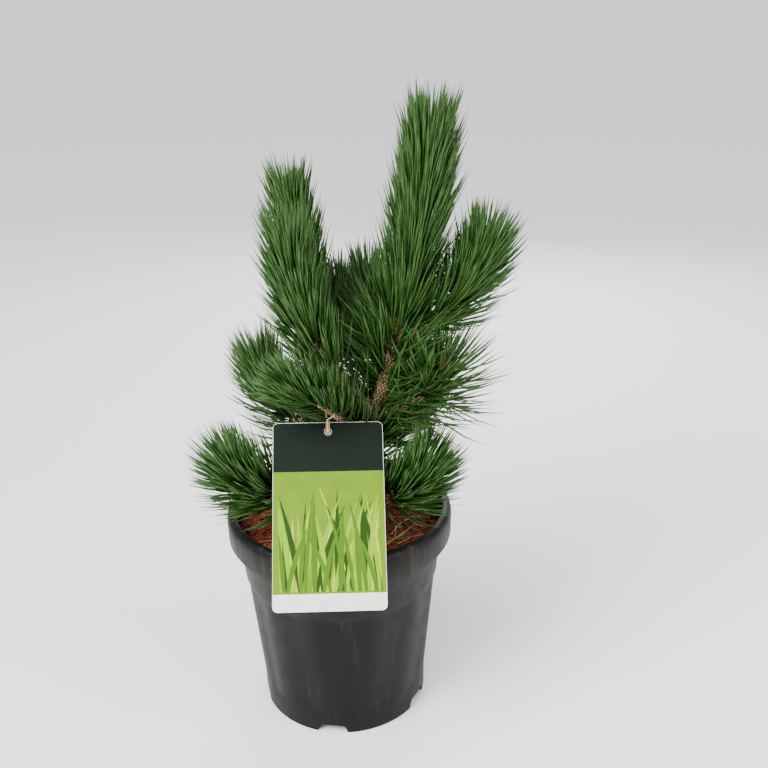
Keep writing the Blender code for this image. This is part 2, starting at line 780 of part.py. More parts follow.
def main():
    clear_scene()
    plastic = material("black_moulded_plastic", (0.020, 0.020, 0.019), 0.45)
    mix = material("coir_and_bark_mix", (0.16, 0.045, 0.02), 0.95)
    bark = material("young_pine_bark", (0.21, 0.13, 0.07), 0.85)
    green = material("pine_needles", (0.035, 0.12, 0.025), 0.5)
    card = material("coated_card", (0.09, 0.2, 0.06), 0.3)
    string = material("tie", (0.6, 0.5, 0.3), 0.6)

    make_pot(plastic)
    make_potting_mix(mix)
    make_trunk(bark)
    for name in BOUGHS:
        make_bough(name, bark)

    taken = Taken()
    for a, b, radius, owner in limb_segments():
        taken.add([a, b], radius, owner)
    rng = random.Random(SEED)
    trunk_mass("needles_leader", LEADER_FOOT, TRUNK[-1][0], 8, True, LEADER, taken, rng, green)
    for name in BOUGHS:
        make_mass(name, taken, rng, green)
    trunk_mass("needles_trunk_middle", *MIDDLE_SPAN, 3, False, MIDDLE, taken, rng, green)
    trunk_mass("needles_trunk_low", *LOW_SPAN, 2, False, LOW, taken, rng, green)
    make_label(card)
    make_tie(string)


main()
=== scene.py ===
"""A young Bosnian pine in its nursery pot: the finish of every surface, over the fixed model. Metres, +Z up,
and the photograph's viewer stands on the -Y side."""

import math

import bmesh
import bpy
import numpy as np
from bpy.props import FloatProperty, FloatVectorProperty, IntProperty, PointerProperty
from mathutils import Matrix, Vector, noise


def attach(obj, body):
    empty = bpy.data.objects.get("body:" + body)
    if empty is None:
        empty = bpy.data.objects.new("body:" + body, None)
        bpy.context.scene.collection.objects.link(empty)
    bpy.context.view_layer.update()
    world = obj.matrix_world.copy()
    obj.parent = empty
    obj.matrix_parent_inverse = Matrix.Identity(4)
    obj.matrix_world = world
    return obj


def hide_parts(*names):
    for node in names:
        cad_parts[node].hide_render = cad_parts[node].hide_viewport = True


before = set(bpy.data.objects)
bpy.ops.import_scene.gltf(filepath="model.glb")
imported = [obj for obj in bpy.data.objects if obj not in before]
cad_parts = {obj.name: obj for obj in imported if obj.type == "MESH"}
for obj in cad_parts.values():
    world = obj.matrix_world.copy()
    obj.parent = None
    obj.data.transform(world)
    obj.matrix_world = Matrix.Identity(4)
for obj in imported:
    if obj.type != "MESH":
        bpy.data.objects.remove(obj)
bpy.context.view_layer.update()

bl_info = {
    "name": "Potted young pine",
    "version": (1, 0, 0),
    "blender": (4, 5, 0),
    "location": "View3D > Sidebar > Pine",
    "description": "Dresses a young pine in a nursery pot",
    "category": "Object",
}

MM = 0.001
GOLDEN_ANGLE = math.radians(137.508)

# Pot, as in the solid model: a nursery container with a rolled rim and a collar under it
POT_HEIGHT = 218 * MM
RIM_RADIUS = 112.5 * MM
RIM_ROUNDING = 5 * MM
MOUTH_RADIUS = 103.5 * MM
COLLAR_RADIUS = 99 * MM
BASE_RADIUS = 84.5 * MM
WALL = 2.4 * MM
FLOOR_RISE = 9.5 * MM
BOSS_RADIUS = 28 * MM
DRAIN_RADIUS = 6 * MM
DRAIN_CIRCLE = 58 * MM
DRILL_SPAN = (6 * MM, 15 * MM)
GAP = 0.3 * MM

# The wall's panels, pressed in a little deeper than the solid's so that they show
FLUTES = 12
FLUTE_DEPTH = 1.6 * MM

# The foot's notches, close to the solid's: the first one's place, and width at the ground and the top, in
# degrees round the pot
FOOT_NOTCHES = 5
FIRST_NOTCH_DEG = -10.4
NOTCH_DEG_FOOT = 21
NOTCH_DEG_TOP = 16.5
NOTCH_HEIGHT = 8.8 * MM

# How finely the pot is turned, and which of its edges are softened or stay crisp
POT_COLUMNS = 240
DRILL_COLUMNS = 40
SOFT_EDGE = 0.5 * MM
SOFTENED_ABOVE_DEG = 28
SHARP_ABOVE_DEG = 32

# Potting mix: its top is settled, lumpy and grainy, with a low mound round the trunk
SOIL_HEIGHT = 200 * MM
MIX_INSET = 0.4 * MM
MIX_COLUMNS = 120
MIX_RINGS = 25
MIX_RING_STEP = 4 * MM
SETTLED = 1.2 * MM
LUMP_SIZE = 14 * MM
LUMP_HEIGHT = 1.5 * MM
GRAIN_FINER = 3.1
GRAIN_HEIGHT = 0.8 * MM
MOUND_HEIGHT = 2.2 * MM
MOUND_RADIUS = 26 * MM

# What lies on the mix: lengths, widths and heights over its top in millimetres, and how steeply it leans
LITTER = {
    "mix_fibres": ((4, 20), (0.5, 1.3), (0.0, 1.6), 0.28),
    "mix_chips": ((3, 9), (2.2, 5.2), (-1.0, 0.8), 0.2),
    "fallen_needles": ((40, 64), (1.0, 1.4), (2.0, 4.0), 0.03),
}
FIBRES_TO_A_CHIP = 4
FALLEN_NEEDLES = 130
LITTER_CURL = 0.7
LITTER_FLATNESS = (1, 1, 0.35)
LITTER_RADIUS = 99 * MM
LITTER_LIMIT = 100.5 * MM
LITTER_DEPTH = 4 * MM

# Trunk: height, offset to the right, offset to the back, radius, in millimetres
TRUNK = (
    (200.3, 0, 0, 12.5),
    (208, 1.5, 0, 9.6),
    (228, 7, 0, 8.4),
    (265, 18, -1, 7.8),
    (305, 32, -1, 7.4),
    (344, 46, 0, 6.6),
    (384, 58, 2, 6.0),
    (414, 65.5, 4, 5.6),
    (457, 74.5, 5, 5.0),
    (503, 82, 5, 4.4),
    (548, 88, 4, 3.8),
    (566, 90, 4, 3.2),
)

# Boughs, as in the solid model: foot height or fork, the bud's place, how far out and up the elbow is, the
# radii at the foot and the bud, and the share of it with no needles in the solid model
BOUGHS = {
    "left_front": dict(foot=318, tip=(-36, -30, 482), out=0.85, rise=0.36, radii=(5.6, 3.4), bare=0.42),
    "left_back": dict(
        fork=("left_front", 0.30), tip=(-35, 30, 516), out=0.75, rise=0.40, radii=(4.6, 3.4), bare=0.40
    ),
    "right_upper": dict(foot=384, tip=(140, -2, 474), out=0.80, rise=0.38, radii=(4.2, 3.2), bare=0.34),
    "centre": dict(foot=346, tip=(36, 46, 430), out=0.85, rise=0.40, radii=(4.0, 3.0), bare=0.30),
    "back_centre": dict(foot=334, tip=(6, 68, 412), out=0.85, rise=0.38, radii=(4.0, 3.0), bare=0.34),
    "left_mid": dict(foot=286, tip=(-35, -58, 363), out=0.50, rise=0.70, radii=(4.2, 3.2), bare=0.50),
    "right_mid": dict(foot=312, tip=(99, -18, 364), out=0.85, rise=0.30, radii=(4.0, 3.0), bare=0.34),
    "lower_left": dict(foot=232, tip=(-95, -47, 282), out=0.80, rise=0.26, radii=(4.4, 3.2), bare=0.44),
    "lower_right": dict(foot=224, tip=(79, -44, 270), out=0.80, rise=0.24, radii=(4.4, 3.2), bare=0.38),
    "back_left": dict(foot=262, tip=(-72, 56, 342), out=0.85, rise=0.34, radii=(4.4, 3.2), bare=0.40),
    "back_right": dict(foot=252, tip=(88, 66, 324), out=0.85, rise=0.32, radii=(4.4, 3.2), bare=0.38),
    "back_low": dict(foot=229, tip=(-14, 94, 276), out=0.85, rise=0.28, radii=(4.2, 3.2), bare=0.40),
}

# Needles: pairs on each shoot, length in millimetres, angle to the shoot at its foot and its bud, and shades
NEEDLES = {
    "left_front": (500, 66, 46, 30, "young"),
    "left_back": (380, 60, 46, 32, "young"),
    "right_upper": (380, 64, 58, 36, "mature"),
    "centre": (240, 60, 50, 24, "mature"),
    "back_centre": (240, 62, 50, 24, "mature"),
    "left_mid": (440, 62, 64, 28, "young"),
    "right_mid": (150, 80, 68, 44, "old"),
    "lower_left": (380, 66, 72, 30, "young"),
    "lower_right": (380, 66, 70, 30, "young"),
    "back_left": (300, 66, 60, 28, "mature"),
    "back_right": (300, 66, 60, 28, "mature"),
    "back_low": (270, 62, 62, 28, "mature"),
    "leader": (900, 73, 44, 28, "mature"),
    "trunk_middle": (520, 84, 80, 46, "old"),
    "trunk_low": (150, 62, 76, 60, "deep"),
}

# The heights between which needles grow on the trunk, and the share of them left out at its front
TRUNK_SPANS = {"leader": (404, 566), "trunk_middle": (304, 404), "trunk_low": (258, 312)}
FRONT_GAPS = {"trunk_middle": 0.68, "trunk_low": 0.3}

# How far before the end of a bough's bare share its needles start
START_LOWER = {"left_mid": 0.46}
OTHERS_START_LOWER = 0.10

# A needle: its width at the foot and two joints, its ridge's height, and how far out in the wood its root is
NEEDLE_SHAPE = (0.8, 1.0, 0.85)
NEEDLE_RIDGE = 1.1
ROOT_PLACE = 0.7
# How many of a needle's first triangles take the painted shade at its foot
FOOT_SHADE_TRIANGLES = 7
LENGTH_RANGE = (0.82, 1.08)
TIP_SHORTENING = 0.14

# How needles stand: the opening's limits and curve, how far they turn up, how far a pair parts and how they
# stray. The old ones are looser
OPENING_LIMITS_DEG = (2, 85)
OPENING_CURVE = 1.1
OPENING_SPREAD_DEG = 7
LOOSE_SPREAD_DEG = 19
UPTURN = 1.35
LOOSE_UPTURN = 0.45
PAIR_SPREAD = (0.02, 0.07)
TURN_JITTER = 0.2
WANDER = 0.05
LOOSE_WANDER = 0.24

# Needles left out: some low on a shoot, some on the trunk's front, and all too near the mix, rim or label
THINNED_BELOW = 0.34
THINNED_SHARE = 0.5
FRONT_FACING = -0.55
MIX_CLEARANCE = 22 * MM
RIM_CLEARANCE = 2 * MM
MOUTH_CLEARANCE = 3 * MM
LABEL_CLEARANCE = 2 * MM
BEHIND_LABEL = 3 * MM

# Sprays: how many along and round a shoot, the share of pairs that keep their spray's green, and the share of
# a shoot, from its foot, that is dealt older shades: older needles and painted shade inside the brush
SPRAY_ROWS = 14
SPRAY_SECTORS = 7
SPRAY_KEEPS_GREEN = 0.45
OLD_AND_SHADED_BELOW = 0.18
SEED = 41

# Bark: the tube's rings and sides, and the leaf scars' size and unevenness
RING_STEP = 0.8 * MM
TRUNK_SIDES = 40
BOUGH_SIDES = 22
SCAR_WIDTH = 3.4 * MM
SCAR_LENGTH = 5.2 * MM
LEAST_SCARS = 5
SCAR_UNEVENNESS = (0.7, 1.15)

# Buds: how deep they start in the wood, how much wider they are than it, and how fine their scales are
BUD_LENGTH = 19 * MM
BUD_SINK = 0.08
BUD_SIDES = 18
BUD_SWELL = 1.05
BUD_FINENESS = 1.6
BUD_RELIEF = 0.6

# Label, as in the solid model
LABEL_WIDTH = 103 * MM
LABEL_LENGTH = 174 * MM
LABEL_THICK = 0.6 * MM
LABEL_CORNER = 5 * MM
LABEL_X = -11 * MM
LABEL_LEAN_DEG = 39
LABEL_SWING_DEG = -1.2
LABEL_ABOVE_RIM = 133 * MM
HOLE_RADIUS = 3.2 * MM
HOLE_INSET = 9 * MM
TIE_PLACE = 0.50

# The card's print: a dark header, a field of leaves and a bare strip, as shares of its length
HEADER_SHARE = 0.27
STRIP_SHARE = 0.09
CARD_EDGE = 0.4 * MM
HOLE_SIDES = 32
INK = 0.08 * MM

# The leaves in the field, a row in each ink, every leaf a little higher than the last so that none touch
LEAF_INKS = dict(pale_lime="#A9C02C", deep_green="#25430A", lime="#82AE14", mid_green="#4B7410")
LEAVES_IN_A_ROW = 13
LEAF_PITCH = 7.2 * MM
LEAF_JITTER = 3 * MM
LEAF_LEAN = 30 * MM
LEAF_MARGIN = 5 * MM
LEAF_FOOT = 1.6 * MM
LEAF_LENGTHS = (52 * MM, 100 * MM)
LEAF_WIDTHS = (3.4 * MM, 5.4 * MM)
LEAF_LIFT = 0.005 * MM

# The string's loop, and the strap's oval over the card's top edge
STRING_RADIUS = 0.6 * MM
STRING_STEPS = 140
STRING_SIDES = 10
STRING_TWIST = 0.16
STRING_TURNS = 42
RING_CLEARANCE = 1.6 * MM
STRAP_STEPS = 48
STRAP_TALL = 6.2 * MM
STRAP_DEEP = 1.3 * MM
STRAP_BELOW_EDGE = 4.6 * MM
STRAP_HALF_WIDTH = 2 * MM
STRAP_THICK = 0.4 * MM

# Camera, worked out from the pot's rim and foot in the photograph
CAMERA_PLACE = (0, -0.8861, 0.7126)
CAMERA_TURN_DEG = 3.03
CAMERA_DROP_DEG = 22.49
CAMERA_ROLL_DEG = -0.94
CAMERA_LENS = 46.875
CAMERA_SENSOR = 36

# Soft lights: place, size in metres and power in watts, and a broad overhead light
LIGHTS = {
    "key": ((-1.1, -1.0, 1.5), 0.9, 52),
    "fill": ((1.3, -0.7, 0.9), 1.2, 20),
    "back": ((0.4, 1.5, 1.0), 1.0, 20),
}
LIGHTS_AIM = (0, 0, 0.3)
OVERHEAD_STRENGTH = 2.6
OVERHEAD_SPREAD_DEG = 50
OVERHEAD_TILT_DEG = (24, -20)
SKY_STRENGTH = 0.6
FLOOR_HALF = 60
FLOOR_BELOW = 0.4 * MM


class PineSizes(bpy.types.PropertyGroup):
    """Sizes that can be changed in the sidebar"""

    needle_width: FloatProperty(
        name="Needle width", description="Across one needle", default=1.9 * MM, unit="LENGTH"
    )
    needle_share: FloatProperty(
        name="Needles kept",
        description="Share of the needles that are grown",
        default=1.0,
        subtype="FACTOR",
        min=0.1,
        max=1.0,
    )
    bark_relief: FloatProperty(
        name="Bark relief", description="How far leaf scars stand out", default=1.1 * MM, unit="LENGTH"
    )
    fibres: IntProperty(
        name="Fibres",
        description="Loose fibres on the potting mix, with a quarter as many chips",
        default=5200,
        min=0,
    )


def shade(name, words, value):
    """A colour property with its default value."""
    return FloatVectorProperty(
        name=name, description=words, default=value, size=3, subtype="COLOR", min=0, max=1
    )


def srgb(code):
    """A colour written as a hex code, turned to linear light."""
    parts = (int(code[i : i + 2], 16) / 255 for i in (1, 3, 5))
    return tuple(c / 12.92 if c <= 0.04045 else ((c + 0.055) / 1.055) ** 2.4 for c in parts)


class PineColours(bpy.types.PropertyGroup):
    """Colours that can be changed in the sidebar"""

    fresh: shade("Fresh needles", "This year's brightest needles", srgb("#30541B"))
    green: shade("Green needles", "Needles a little older", srgb("#1D4114"))
    deep: shade("Deep needles", "Grown needles", srgb("#11290E"))
    # The dark green is partly a darker tone dealt at random, partly painted shade for the needles inside the
    # brush
    dark: shade("Dark needles", "Inner needles", srgb("#081406"))
    olive: shade("Olive needles", "Needles in their last year", srgb("#6E7234"))
    straw: shade("Straw needles", "Dead needles", srgb("#A08A58"))
    plastic: shade("Pot", "The pot's plastic", srgb("#0D0C0A"))
    mix: shade("Potting mix", "Fibres of the mix", srgb("#8E4023"))
    bark: shade("Bark", "Leaf scars of the bark", srgb("#D6B088"))


GREENS = ("fresh", "green", "deep", "dark", "olive", "straw")

# The darker green each needle takes near its foot: painted shade inside the brush
FOOT_SHADE_GREENS = dict(fresh="deep", green="dark", deep="dark", dark="dark", olive="deep", straw="olive")

# The share of each green in each kind of shade, in the order of GREENS
DEALT = {
    "young": (0.40, 0.26, 0.18, 0.12, 0.04, 0.0),
    "mature": (0.24, 0.26, 0.24, 0.17, 0.08, 0.01),
    "old": (0.02, 0.12, 0.18, 0.20, 0.38, 0.10),
    "deep": (0.02, 0.12, 0.34, 0.38, 0.10, 0.04),
}


# Materials

def add(tree, kind, settings=None, links=None):
    """A node with its settings, each given input set to a value or linked from a socket."""
    node = tree.nodes.new(kind)
    for name, value in (settings or {}).items():
        setattr(node, name, value)
    for name, value in (links or {}).items():
        if isinstance(value, bpy.types.NodeSocket):
            tree.links.new(value, node.inputs[name])
        else:
            node.inputs[name].default_value = value
    return node


def ramp(tree, factor, stops):
    """A colour that follows a factor through the stops, each a place and a colour."""
    node = add(tree, "ShaderNodeValToRGB", links={"Fac": factor})
    while len(node.color_ramp.elements) < len(stops):
        node.color_ramp.elements.new(0.5)
    for element, (place, colour) in zip(node.color_ramp.elements, stops):
        element.position = place
        element.color = (*colour, 1)
    return node.outputs["Color"]


def finish(name, colour, roughness, ior=1.5, gloss=0.5):
    """A Principled material with its plain values, and its tree and shader to add a pattern to."""
    made = bpy.data.materials.new(name)
    made.use_nodes = True
    shader = made.node_tree.nodes["Principled BSDF"]
    values = {"Base Color": (*colour, 1), "Roughness": roughness, "IOR": ior, "Specular IOR Level": gloss}
    for key, value in values.items():
        shader.inputs[key].default_value = value
    return made, made.node_tree, shader


def scaled(colour, share):
    """A colour made lighter or darker."""
    return tuple(min(1.0, c * share) for c in colour)


def place_noise(tree, size_mm, detail=4.0, stretch=(1, 1, 1)):
    """Noise over the object's own place, with features about this many millimetres across."""
    place = add(tree, "ShaderNodeTexCoord").outputs["Object"]
    mapping = add(tree, "ShaderNodeMapping", links={"Vector": place, "Scale": stretch})
    scale = 1 / (size_mm * MM)
    links = {"Vector": mapping.outputs["Vector"], "Scale": scale, "Detail": detail}
    return add(tree, "ShaderNodeTexNoise", links=links).outputs["Fac"]


def bumped(tree, shader, height, distance):
    """A bump in the shader's surface, this many metres high."""
    bump = add(tree, "ShaderNodeBump", links={"Height": height, "Distance": distance, "Strength": 0.6})
    tree.links.new(bump.outputs["Normal"], shader.inputs["Normal"])


def uneven_roughness(tree, shader, size_mm, low, high):
    """Roughness between two values, in patches about this many millimetres across."""
    links = {"Value": place_noise(tree, size_mm), "To Min": low, "To Max": high}
    rough = add(tree, "ShaderNodeMapRange", links=links)
    tree.links.new(rough.outputs["Result"], shader.inputs["Roughness"])


def waxy_needle(colour, name):
    """Pine needle with a wax bloom: a soft gloss along its length, duller where the bloom lies."""
    made, tree, shader = finish(f"waxy_{name}_needle", colour, 0.36, ior=1.45, gloss=0.4)
    uneven_roughness(tree, shader, 8, 0.28, 0.5)
    return made


def moulded_plastic(colour):
    """Recycled polypropylene, injection moulded: charcoal and satin, with faint upright dusty scuffs."""
    made, tree, shader = finish("moulded_recycled_polypropylene", colour, 0.42, ior=1.49, gloss=0.16)
    flow = place_noise(tree, 9, stretch=(1, 1, 0.06))
    stops = ((0.35, scaled(colour, 0.8)), (0.6, colour), (0.88, srgb("#38342B")))
    tree.links.new(ramp(tree, flow, stops), shader.inputs["Base Color"])
    uneven_roughness(tree, shader, 14, 0.36, 0.6)
    bumped(tree, shader, place_noise(tree, 1.2), 0.00012)
    return made


def scaly_bark(colour):
    """Young pine bark: tan leaf scars with darker gaps between them, told apart by the relief attribute. The
    gaps' darkness is partly the bark's own, partly painted shade.
    """
    made, tree, shader = finish("young_scaly_pine_bark", colour, 0.85)
    relief = add(tree, "ShaderNodeAttribute", {"attribute_name": "relief"}).outputs["Fac"]
    # Darkest in the low gaps between scars, painted shade in part, and lightest on the scars' tops
    stops = ((0.3, scaled(colour, 0.07)), (0.58, scaled(colour, 0.5)), (0.86, scaled(colour, 1.2)))
    scars = ramp(tree, relief, stops)
    tint = ramp(tree, place_noise(tree, 5), ((0.3, (0.62, 0.52, 0.42)), (0.7, (1.0, 0.98, 0.92))))
    # Socket 0 is the mix's factor, 6 and 7 its two colours, and output 2 the mixed colour
    settings = {"data_type": "RGBA", "blend_type": "MULTIPLY"}
    mixed = add(tree, "ShaderNodeMix", settings, {0: 1.0, 6: scars, 7: tint})
    tree.links.new(mixed.outputs[2], shader.inputs["Base Color"])
    bumped(tree, shader, place_noise(tree, 0.8), 0.0003)
    return made


def fibre(colour, name):
    """Composted bark and coir fibre: dull and open, darker where it is damp."""
    made, tree, shader = finish(f"{name}_bark_fibre", colour, 0.9)
    stops = ((0.3, scaled(colour, 0.45)), (0.7, scaled(colour, 1.3)))
    tree.links.new(ramp(tree, place_noise(tree, 3), stops), shader.inputs["Base Color"])
    bumped(tree, shader, place_noise(tree, 0.7), 0.0003)
    return made


def printed_card(name, code):
    """Card printed with smooth ink under a thin film: an even colour with a faint soft gloss."""
    made, tree, shader = finish(f"coated_card_{name}", srgb(code), 0.5, gloss=0.12)
    stops = ((0.3, scaled(srgb(code), 0.9)), (0.7, scaled(srgb(code), 1.08)))
    tree.links.new(ramp(tree, place_noise(tree, 12), stops), shader.inputs["Base Color"])
    return made


# Shapes

def placed(name, data):
    """A new object in the scene."""
    made = bpy.data.objects.new(name, data)
    bpy.context.scene.collection.objects.link(made)
    return made


def mesh_from(name, bm):
    """A mesh made from a bmesh, which is freed."""
    mesh = bpy.data.meshes.new(name)
    bm.to_mesh(mesh)
    bm.free()
    return mesh


def piece(name, shape, materials, nodes=()):
    """A finished piece from a mesh or a bmesh, that rides on the one body and stands for the nodes given."""
    if isinstance(shape, bmesh.types.BMesh):
        bmesh.ops.recalc_face_normals(shape, faces=shape.faces)
        shape = mesh_from(name, shape)
    obj = placed(name, shape)
    shape.materials.clear()
    for made in materials:
        shape.materials.append(made)
    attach(obj, "root")
    if nodes:
        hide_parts(*nodes)
    return obj


def array_mesh(name, verts, faces, material_index=None):
    """A mesh from lists or arrays of points and faces, and which material each face has."""
    mesh = bpy.data.meshes.new(name)
    mesh.from_pydata(verts, [], faces)
    if material_index is not None:
        mesh.polygons.foreach_set("material_index", np.asarray(material_index, np.int32))
    mesh.update()
    return mesh


def joined(name, rows, faces, material_index):
    """One mesh of many needles or strips, from their rows of points and the triangles of one."""
    first = np.arange(len(rows)) * rows.shape[1]
    triangles = (faces[None] + first[:, None, None]).reshape(-1, 3)
    return array_mesh(name, rows.reshape(-1, 3), triangles, material_index)


def tube_faces(rings, sides, closed=False):
    """Triangles of a tube through rings of equal count, with its ends closed by a fan."""
    faces = []
    last = rings if closed else rings - 1
    for k in range(last):
        low, high = k * sides, (k + 1) % rings * sides
        for i in range(sides):
            j = (i + 1) % sides
            faces.append((low + i, low + j, high + j))
            faces.append((low + i, high + j, high + i))
    if not closed:
        faces += [(0, i + 1, i) for i in range(1, sides - 1)]
        top = (rings - 1) * sides
        faces += [(top, top + i, top + i + 1) for i in range(1, sides - 1)]
    return faces


def trunk_point(height):
    """The trunk's axis and radius at a height in millimetres, smoothly through the named rows."""
    rows = np.array(TRUNK, float)
    height = min(max(height, rows[0, 0]), rows[-1, 0])
    k = int(np.clip(np.searchsorted(rows[:, 0], height) - 1, 0, len(rows) - 2))
    span = rows[k + 1, 0] - rows[k, 0]
    t = (height - rows[k, 0]) / span
    slopes = np.gradient(rows[:, 1:], rows[:, 0], axis=0)
    a, b = rows[k, 1:], rows[k + 1, 1:]
    blend = (
        a * (2 * t**3 - 3 * t**2 + 1)
        + slopes[k] * span * (t**3 - 2 * t**2 + t)
        + b * (3 * t**2 - 2 * t**3)
        + slopes[k + 1] * span * (t**3 - t**2)
    )
    return Vector((blend[0], blend[1], height)) * MM, blend[2] * MM


def bough_path(name):
    """A function from 0, at the bough's foot on its parent's axis, to 1, at its bud."""
    facts = BOUGHS[name]
    if "fork" in facts:
        parent, along = facts["fork"]
        foot = bough_path(parent)(along)
    else:
        foot = trunk_point(facts["foot"])[0]
    tip = Vector(facts["tip"]) * MM
    across = Vector((tip.x - foot.x, tip.y - foot.y, 0))
    elbow = foot + across * facts["out"] + Vector((0, 0, (tip.z - foot.z) * facts["rise"]))
    return lambda t: foot * (1 - t) ** 2 + elbow * (2 * t * (1 - t)) + tip * t**2


def tangent(path, t):
    """A path's direction at a share of its length."""
    step = 1e-3
    return (path(min(t + step, 1)) - path(max(t - step, 0))).normalized()


def frame_round(direction):
    """Two directions square to this one, the first as near to +X as it goes."""
    side = Vector((1, 0, 0)) - direction * direction.x
    if side.length < 0.2:
        side = Vector((0, 1, 0)) - direction * direction.y
    side.normalize()
    return side, direction.cross(side).normalized()


def bark_tube(name, path, radius, length, relief, sides):
    """A tube with leaf scars in two crossing spirals, and how far each point stands out as an attribute."""
    rings = int(length / RING_STEP)
    verts, heights = [], []
    rng = np.random.default_rng(SEED)
    rough = rng.uniform(*SCAR_UNEVENNESS, (rings, sides))
    for k in range(rings):
        t = k / (rings - 1)
        centre, along = path(t), tangent(path, t)
        side, up = frame_round(along)
        base = radius(t)
        around = max(LEAST_SCARS, round(math.tau * base / SCAR_WIDTH))
        run = t * length / SCAR_LENGTH
        for i in range(sides):
            angle = math.tau * i / sides
            lean = around * angle / math.tau
            scar = abs(math.sin(math.pi * (lean + run))) * abs(math.sin(math.pi * (lean - run)))
            height = min(1.0, scar**0.6 * rough[k, i])
            heights.append(height)
            wide = base + relief * (height - 0.5)
            verts.append(centre + (side * math.cos(angle) + up * math.sin(angle)) * wide)
    mesh = array_mesh(name, [tuple(v) for v in verts], tube_faces(rings, sides))
    mesh.attributes.new("relief", "FLOAT", "POINT").data.foreach_set("value", heights)
    return mesh


def label_frame():
    """Where the label's middle rests on the rim, and its across, up and outward directions."""
    lean = math.radians(LABEL_LEAN_DEG)
    up = Vector((0, math.sin(lean), math.cos(lean)))
    out = Vector((0, -math.cos(lean), math.sin(lean)))
    swing = Matrix.Rotation(math.radians(LABEL_SWING_DEG), 3, out)
    rounding = Vector((LABEL_X, -RIM_RADIUS + RIM_ROUNDING, POT_HEIGHT - RIM_ROUNDING))
    seat = rounding + out * (RIM_ROUNDING + GAP + LABEL_THICK)
    return seat, swing @ Vector((1, 0, 0)), swing @ up, out


def unit(rows):
    """Rows of vectors, each made one long."""
    return rows / np.linalg.norm(rows, axis=-1, keepdims=True)


def clear_rows(points):
    """Which needles, given as rows of points, stay clear of the mix, the rim and the label."""
    z, across = points[..., 2], np.hypot(points[..., 0], points[..., 1])
    bad = z < SOIL_HEIGHT + MIX_CLEARANCE
    bad |= (z < POT_HEIGHT + RIM_CLEARANCE) & (across > MOUTH_RADIUS - MOUTH_CLEARANCE)
    seat, side, up, out = (np.array(v) for v in label_frame())
    rel = points - seat
    foot = LABEL_ABOVE_RIM - LABEL_LENGTH - LABEL_CLEARANCE
    inside = np.abs(rel @ side) < LABEL_WIDTH / 2 + LABEL_CLEARANCE
    inside &= (rel @ up > foot) & (rel @ up < LABEL_ABOVE_RIM + LABEL_CLEARANCE)
    bad |= inside & (rel @ out > -BEHIND_LABEL)
    return ~bad.any(axis=1)


def needle_arrays(roots, starts, turns, lengths, width, rng):
    """Curved three-sided needles as rows of points, the triangles of one needle, and their middle lines."""
    steps = len(NEEDLE_SHAPE)
    width = np.broadcast_to(width, lengths.shape)[:, None]
    centres = [roots]
    for k in range(steps):
        heading = unit(starts + turns * (UPTURN * (k + 0.5) / steps))
        centres.append(centres[-1] + heading * (lengths / steps)[:, None])
    centres = np.stack(centres, 1)
    side = unit(np.cross(starts, unit(rng.normal(size=starts.shape))))
    rise = np.cross(unit(starts), side)
    verts = []
    for k, share in enumerate(NEEDLE_SHAPE):
        reach = width / 2 * share
        middle, edge = centres[:, k], side * reach
        verts += [middle + edge, middle + rise * reach * NEEDLE_RIDGE, middle - edge]
    verts.append(centres[:, -1])
    faces = [(0, 2, 1)]
    for k in range(steps - 1):
        for i in range(3):
            j = (i + 1) % 3
            a, b, c, d = 3 * k + i, 3 * k + j, 3 * k + 3 + j, 3 * k + 3 + i
            faces += [(a, b, c), (a, c, d)]
    last = 3 * (steps - 1)
    faces += [(last + i, last + (i + 1) % 3, last + 3) for i in range(3)]
    return np.stack(verts, 1), np.array(faces), centres


def stem_arrays(path, radius, span, share):
    """Along a stem's span, as arrays: its direction, two directions square to that, its place and radius."""
    rows = []
    for s in share:
        t = span[0] + (span[1] - span[0]) * s
        direction = tangent(path, t)
        rows.append((direction, *frame_round(direction), path(t), radius(t)))
    return [np.array(column) for column in zip(*rows)]


def deal_greens(shades, share, angle, rng):
    """Which green each pair has: its spray's or its own, and near the shoot's foot an older one, darker in
    part as painted shade.
    """
    count = len(share)
    sector = (angle / math.tau * SPRAY_SECTORS % SPRAY_SECTORS).astype(int)
    spray = (share * SPRAY_ROWS).astype(int) * SPRAY_SECTORS + sector
    by_spray = rng.choice(len(GREENS), size=spray.max() + 1, p=DEALT[shades])[spray]
    own = rng.choice(len(GREENS), size=count, p=DEALT[shades])
    dealt = np.where(rng.uniform(size=count) < SPRAY_KEEPS_GREEN, by_spray, own)
    # Near the shoot's foot, older greens: older needles and painted shade inside the brush
    inner = rng.choice(len(GREENS), size=count, p=DEALT["old"])
    return np.where(share < OLD_AND_SHADED_BELOW, inner, dealt)


